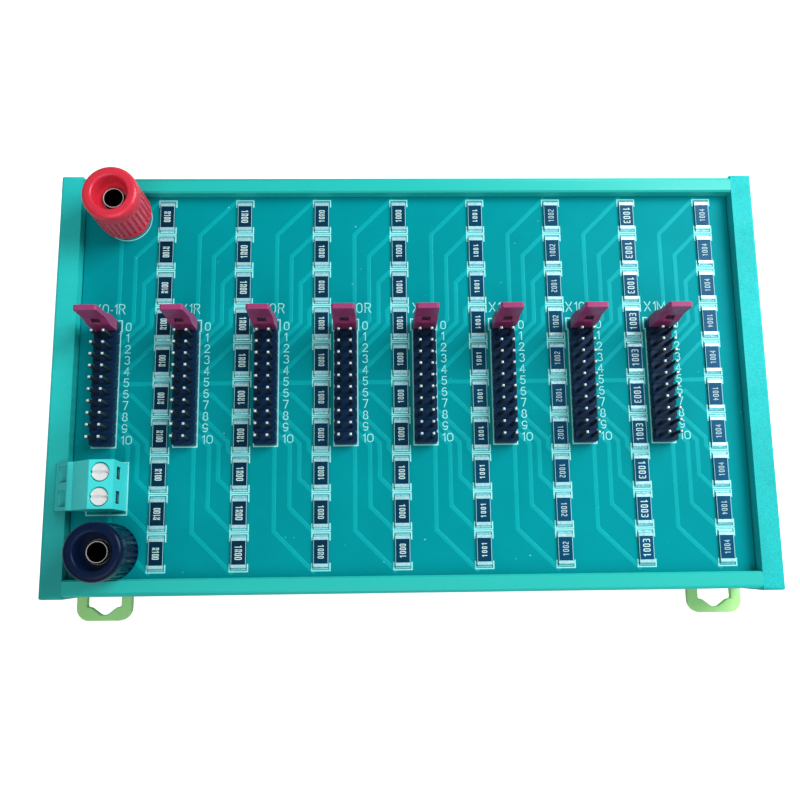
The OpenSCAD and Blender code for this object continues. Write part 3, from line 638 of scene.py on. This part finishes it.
def stud_rows(foot, top):
    """Height, radius and depth of thread of a stud's rings, from its foot up and down into its socket."""
    collar = TOP + COLLAR
    start = collar + FLANGE
    end = top - NECK
    flange_rim = FLANGE_RADIUS - FLANGE_CHAMFER
    rows = [(foot, TAIL_RADIUS - TAIL_CHAMFER, 0), (foot + TAIL_CHAMFER, TAIL_RADIUS, 0),
            (collar, TAIL_RADIUS, 0), (collar, flange_rim, 0),
            (collar + FLANGE_CHAMFER, FLANGE_RADIUS, 0), (start - FLANGE_CHAMFER, FLANGE_RADIUS, 0),
            (start, flange_rim, 0)]
    count = round((end - start) / THREAD_PITCH * STEPS_PER_TURN)
    for k in range(count + 1):
        along = k / count
        # The thread rises out of the flange, and runs out a little towards the neck
        fade = min(1.0, 12 * along, 20 * (1 - along) + 0.6)
        rows.append((start + along * (end - start), THREAD_RADIUS, fade * THREAD_DEPTH))
    rows += [(end, NECK_RADIUS, 0), (top - NECK_CHAMFER, NECK_RADIUS, 0), (top, NECK_RADIUS - NECK_CHAMFER, 0),
             (top, BORE_RADIUS + SOCKET_CHAMFER, 0), (top - SOCKET_CHAMFER, BORE_RADIUS, 0),
             (top - SOCKET_DEPTH, BORE_RADIUS, 0)]
    return rows, start


def post_stud(colour):
    """A right-handed thread cut into a stud: the rings above, joined all round and closed at both ends."""
    low, high = box(f"{colour}_stud")
    x, y = middle(f"{colour}_stud")
    rows, start = stud_rows(low[2], high[2])
    points, faces = [], []
    for z, radius, depth in rows:
        for j in range(ROUND):
            r = radius - depth * thread_cut((z - start) / THREAD_PITCH - j / ROUND)
            turn = 2 * math.pi * j / ROUND
            points.append((x + r * math.cos(turn), y + r * math.sin(turn), z))
    for k in range(len(rows) - 1):
        for j in range(ROUND):
            a, b = k * ROUND + j, k * ROUND + (j + 1) % ROUND
            faces.append((a, b, b + ROUND, a + ROUND))
    faces.append(tuple(reversed(range(ROUND))))
    faces.append(tuple((len(rows) - 1) * ROUND + j for j in range(ROUND)))
    stud = add_piece(f"{colour}_stud_threaded", points, faces, STUDS[colour], "base", smooth=True)
    stud.data.set_sharp_from_angle(angle=THREAD_EDGE)
    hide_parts(f"{colour}_stud")


for colour in STUDS:
    post_stud(colour)

# Board print

LINE = 0.28
PRINT_LIFT = 0.055
# The label of each header, and how far it starts from the header's middle
LABELS = [("X0.1R", -3.52), ("X1R", -1.86), ("X10R", -2.45), ("X100R", -2.45),
          ("X1K", -2.45), ("X10K", -2.68), ("X100K", -2.86), ("X1M", -2.47)]
LABEL_UP, LABEL_HEIGHT, LABEL_STROKE = 3.28, 2.14, 0.21
# The frame round a header and the hooks beside its first row, from the middle of that row
HEADER_MARKS = [[(-2.62, -1.20), (-2.62, -26.84), (2.62, -26.84), (2.62, -1.20)],
                [(-2.62, -0.90), (-2.97, -0.90), (-2.97, 1.70), (-2.12, 1.70)],
                [(2.07, 1.68), (2.85, 1.68), (2.85, -0.84), (2.62, -0.84)]]
DIGIT_RIGHT, DIGIT_DOWN, DIGIT_STROKE = 3.72, 0.63, 0.20
DIGIT_WIDTH, DIGIT_HEIGHT = 1.20, 1.76
TEN_RIGHT, TEN_HEIGHT = 3.82, 1.70
# The bracket at each end of a chip, from the chip's middle
BRACKET_HALF, BRACKET_END, BRACKET_ARM = 1.94, 4.0, 1.5
RINGS = {"red_knob": 5.35, "black_knob": 5.0}
RING_STROKE = 0.2


def print_header(silk, x, first_row, words, shift):
    label(silk, words, x + shift, first_row + LABEL_UP, LABEL_HEIGHT, LABEL_STROKE)
    for path in HEADER_MARKS:
        silk.line([(x + u, first_row + v) for u, v in path], LINE)
    for row in range(ROWS - 1):
        write(silk, STROKES, str(row), x + DIGIT_RIGHT, first_row - row * PITCH - DIGIT_DOWN,
              DIGIT_WIDTH, DIGIT_HEIGHT, 0, DIGIT_STROKE)
    last = first_row - (ROWS - 1) * PITCH - DIGIT_DOWN
    label(silk, str(ROWS - 1), x + TEN_RIGHT, last, TEN_HEIGHT, DIGIT_STROKE)


def print_brackets(silk, x, y):
    for way in (1, -1):
        end = y + way * BRACKET_END
        arm = end - way * BRACKET_ARM
        silk.line([(x - BRACKET_HALF, arm), (x - BRACKET_HALF, end), (x + BRACKET_HALF, end),
                   (x + BRACKET_HALF, arm)], LINE)


def print_terminal(silk):
    """The frame round the screw terminal."""
    low, high = box("terminal_housing")
    left, right, near, far = high[0] - 8.45, high[0] + 0.2, low[1] - 0.8, high[1] + 0.3
    silk.line([(right, near), (right, far), (left, far), (left, near), (right, near)], LINE)


def board_print():
    silk = Sheet(TOP + PRINT_LIFT)
    for (x, first_row), (words, shift) in zip(HEADERS, LABELS):
        print_header(silk, x, first_row, words, shift)
    for x in COLUMN_X:
        for k in range(CHIPS):
            print_brackets(silk, x, chip_y(k))
    print_terminal(silk)
    for knob, radius in RINGS.items():
        silk.line(arc(*middle(knob), radius, radius, 0, 360, 64), RING_STROKE)
    silk.piece("board_print", SILK, "board")


board_print()

# Marks on the chips, column by column

VALUES = ["R100", "1R00", "10R0", "1000", "1001", "1002", "1003", "1004"]
# Whether each chip's mark runs up or down, from the far end
WAYS = ["dduuuuddud", "duddduuddd", "ududdduudd", "uudduuuddu",
        "dduduuduuu", "uuduuddddu", "ddduududdu", "uuududuudu"]
# Width, height, advance and stroke of the letters
CODE_SIZES = [(0.44, 1.28, 0.66, 0.18), (0.52, 1.34, 0.80, 0.19), (0.50, 1.12, 0.77, 0.16),
              (0.50, 1.16, 0.78, 0.17), (0.46, 0.96, 0.84, 0.17), (0.50, 1.12, 0.80, 0.115),
              (0.62, 1.35, 1.02, 0.20), (0.50, 1.12, 0.80, 0.115)]


def chip_marks():
    codes = Sheet(CHIP_TOP)
    for x, words, ways, (width, height, advance, stroke) in zip(COLUMN_X, VALUES, WAYS, CODE_SIZES):
        length = (len(words) - 1) * advance + width
        for k, way in enumerate(ways):
            side = 1 if way == "u" else -1
            write(codes, BLOCK, words, x + side * height / 2, chip_y(k) - side * length / 2,
                  width, height, advance, stroke, side * 90)
    codes.piece("chip_marks", CODE, "chip")


chip_marks()

# Dark strips on the seams between the cells of the headers, painted shade for the grooves there

SEAM_HALF, SEAM_WIDTH, SEAM_LIFT = 1.98, 0.12, 0.006


def header_seams():
    seams = Sheet(box("header_body_1")[1][2])
    for x, first_row in HEADERS:
        for row in range(1, ROWS):
            y = first_row - (row - 0.5) * PITCH
            seams.line([(x - SEAM_HALF, y), (x + SEAM_HALF, y)], SEAM_WIDTH, SEAM_LIFT, square=False)
    seams.piece("header_seams", SEAM_SHADE, "header")


header_seams()

# Pale rims along the chips, for their white ceramic edges with a painted highlight along them, and solder
# fillets with their pads at both ends

RIM_OUT, RIM_WIDTH, RIM_LIFT, RIM_DOWN, RIM_SHORT = 1.53, 0.10, 0.012, 0.08, 0.02
FILLET_STEPS = 6
FILLET_GAP, FILLET_RUN = 0.005, 0.50
PAD_HEIGHT, FILLET_RISE, FILLET_CURVE = 0.04, 0.46, 2.2
FILLET_HALF, FILLET_TAPER = 1.60, 0.10


def chip_rims():
    rims = Sheet(CHIP_TOP - RIM_DOWN)
    half = CHIP_BODY / 2 - RIM_SHORT
    for x in COLUMN_X:
        for k in range(CHIPS):
            for side in (-1, 1):
                edge = x + side * RIM_OUT
                rims.line([(edge, chip_y(k) - half), (edge, chip_y(k) + half)], RIM_WIDTH, RIM_LIFT,
                          square=False)
    rims.piece("chip_rims", CERAMIC, "chip")


def solder_fillet(x, y, way, points, faces):
    """A hollow slope of solder from a chip's end out over its pad."""
    first = len(points)
    for j in range(FILLET_STEPS + 1):
        out = j / FILLET_STEPS
        edge = y + way * (CHIP_LENGTH / 2 + FILLET_GAP + FILLET_RUN * out)
        z = TOP + PAD_HEIGHT + FILLET_RISE * (1 - out) ** FILLET_CURVE
        half = FILLET_HALF - FILLET_TAPER * (1 - out)
        points += [(x - half, edge, z), (x + half, edge, z), (x + half, edge, TOP), (x - half, edge, TOP)]
    for j in range(FILLET_STEPS):
        a, b = first + 4 * j, first + 4 * (j + 1)
        faces += [(a, a + 1, b + 1, b), (a + 1, a + 2, b + 2, b + 1), (a + 3, a, b, b + 3)]
    last = first + 4 * FILLET_STEPS
    faces.append((last, last + 1, last + 2, last + 3))


def solder_fillets():
    points, faces = [], []
    for x in COLUMN_X:
        for k in range(CHIPS):
            for way in (-1, 1):
                solder_fillet(x, chip_y(k), way, points, faces)
    add_piece("solder_fillets", points, faces, SOLDER, "base")


chip_rims()
solder_fillets()


# Floor, light and camera; the floor and the lamps are placed in metres

FLOOR_SIZE = 6.0
FLOOR_Z = -0.0004
FLOOR_GLOW = 0.80
WORLD_LIGHT = 0.24


def floor():
    """A pale floor that glows to the camera alone, so that it reads as white and keeps the shadow."""
    material, tree, shader = new_material("pale_floor")
    shader.inputs["Base Color"].default_value = (0.90, 0.90, 0.90, 1)
    shader.inputs["Roughness"].default_value = 0.9
    shader.inputs["Specular IOR Level"].default_value = 0.1
    glow = tree.nodes.new("ShaderNodeEmission")
    glow.inputs["Color"].default_value = (1, 1, 1, 1)
    ray = tree.nodes.new("ShaderNodeLightPath")
    seen = between(tree, ray.outputs["Is Camera Ray"], 0.0, 1.0, 0.0, FLOOR_GLOW)
    tree.links.new(seen, glow.inputs["Strength"])
    add = tree.nodes.new("ShaderNodeAddShader")
    tree.links.new(shader.outputs[0], add.inputs[0])
    tree.links.new(glow.outputs[0], add.inputs[1])
    tree.links.new(add.outputs[0], tree.nodes["Material Output"].inputs["Surface"])

    half = FLOOR_SIZE / 2
    mesh = bpy.data.meshes.new("floor")
    corners = [(-half, -half, FLOOR_Z), (half, -half, FLOOR_Z), (half, half, FLOOR_Z), (-half, half, FLOOR_Z)]
    mesh.from_pydata(corners, [], [(0, 1, 2, 3)])
    mesh.materials.append(material)
    plane = bpy.data.objects.new("floor", mesh)
    scene.collection.objects.link(plane)


def sky():
    """White to the camera and through clear things, and a soft light to everything else."""
    world = bpy.data.worlds.new("studio")
    scene.world = world
    world.use_nodes = True
    tree = world.node_tree
    back = tree.nodes["Background"]
    back.inputs["Color"].default_value = (1, 1, 1, 1)
    ray = tree.nodes.new("ShaderNodeLightPath")
    either = tree.nodes.new("ShaderNodeMath")
    either.operation = "MAXIMUM"
    tree.links.new(ray.outputs["Is Camera Ray"], either.inputs[0])
    tree.links.new(ray.outputs["Is Transmission Ray"], either.inputs[1])
    level = between(tree, either.outputs[0], 0.0, 1.0, WORLD_LIGHT, 1.0)
    tree.links.new(level, back.inputs["Strength"])


def lamp(name, at, aim, size, watts):
    data = bpy.data.lights.new(name, "AREA")
    data.shape = "SQUARE"
    data.size = size
    data.energy = watts
    light = bpy.data.objects.new(name, data)
    scene.collection.objects.link(light)
    light.location = at
    light.rotation_euler = (Vector(aim) - Vector(at)).to_track_quat("-Z", "Y").to_euler()


# The camera as fitted to the pins of the headers in the photo
CAMERA_AT = (-7.593, -35.759, 218.862)
CAMERA_RIGHT = (0.99965, -0.01251, 0.02319)
CAMERA_UP = (0.00826, 0.98452, 0.17507)
CAMERA_BACK = (-0.02502, -0.17482, 0.98428)
CAMERA_LENS = 39.52
CAMERA_SENSOR = 36.0


def camera():
    data = bpy.data.cameras.new("camera")
    data.sensor_fit = "HORIZONTAL"
    data.sensor_width = CAMERA_SENSOR
    data.lens = CAMERA_LENS
    data.clip_start = 0.01
    data.clip_end = 20.0
    eye = bpy.data.objects.new("camera", data)
    scene.collection.objects.link(eye)
    turn = Matrix((CAMERA_RIGHT, CAMERA_UP, CAMERA_BACK)).transposed().to_4x4()
    eye.matrix_world = Matrix.Translation(Vector(CAMERA_AT) * MM) @ turn
    scene.camera = eye


floor()
sky()
lamp("key", at=(0.24, 0.13, 0.27), aim=(0.02, 0.0, 0.02), size=0.22, watts=1.3)
lamp("fill", at=(-0.04, -0.34, 0.56), aim=(0.0, 0.0, 0.02), size=0.5, watts=1.3)
camera()
scene.view_settings.view_transform = "Standard"

bpy.context.view_layer.update()
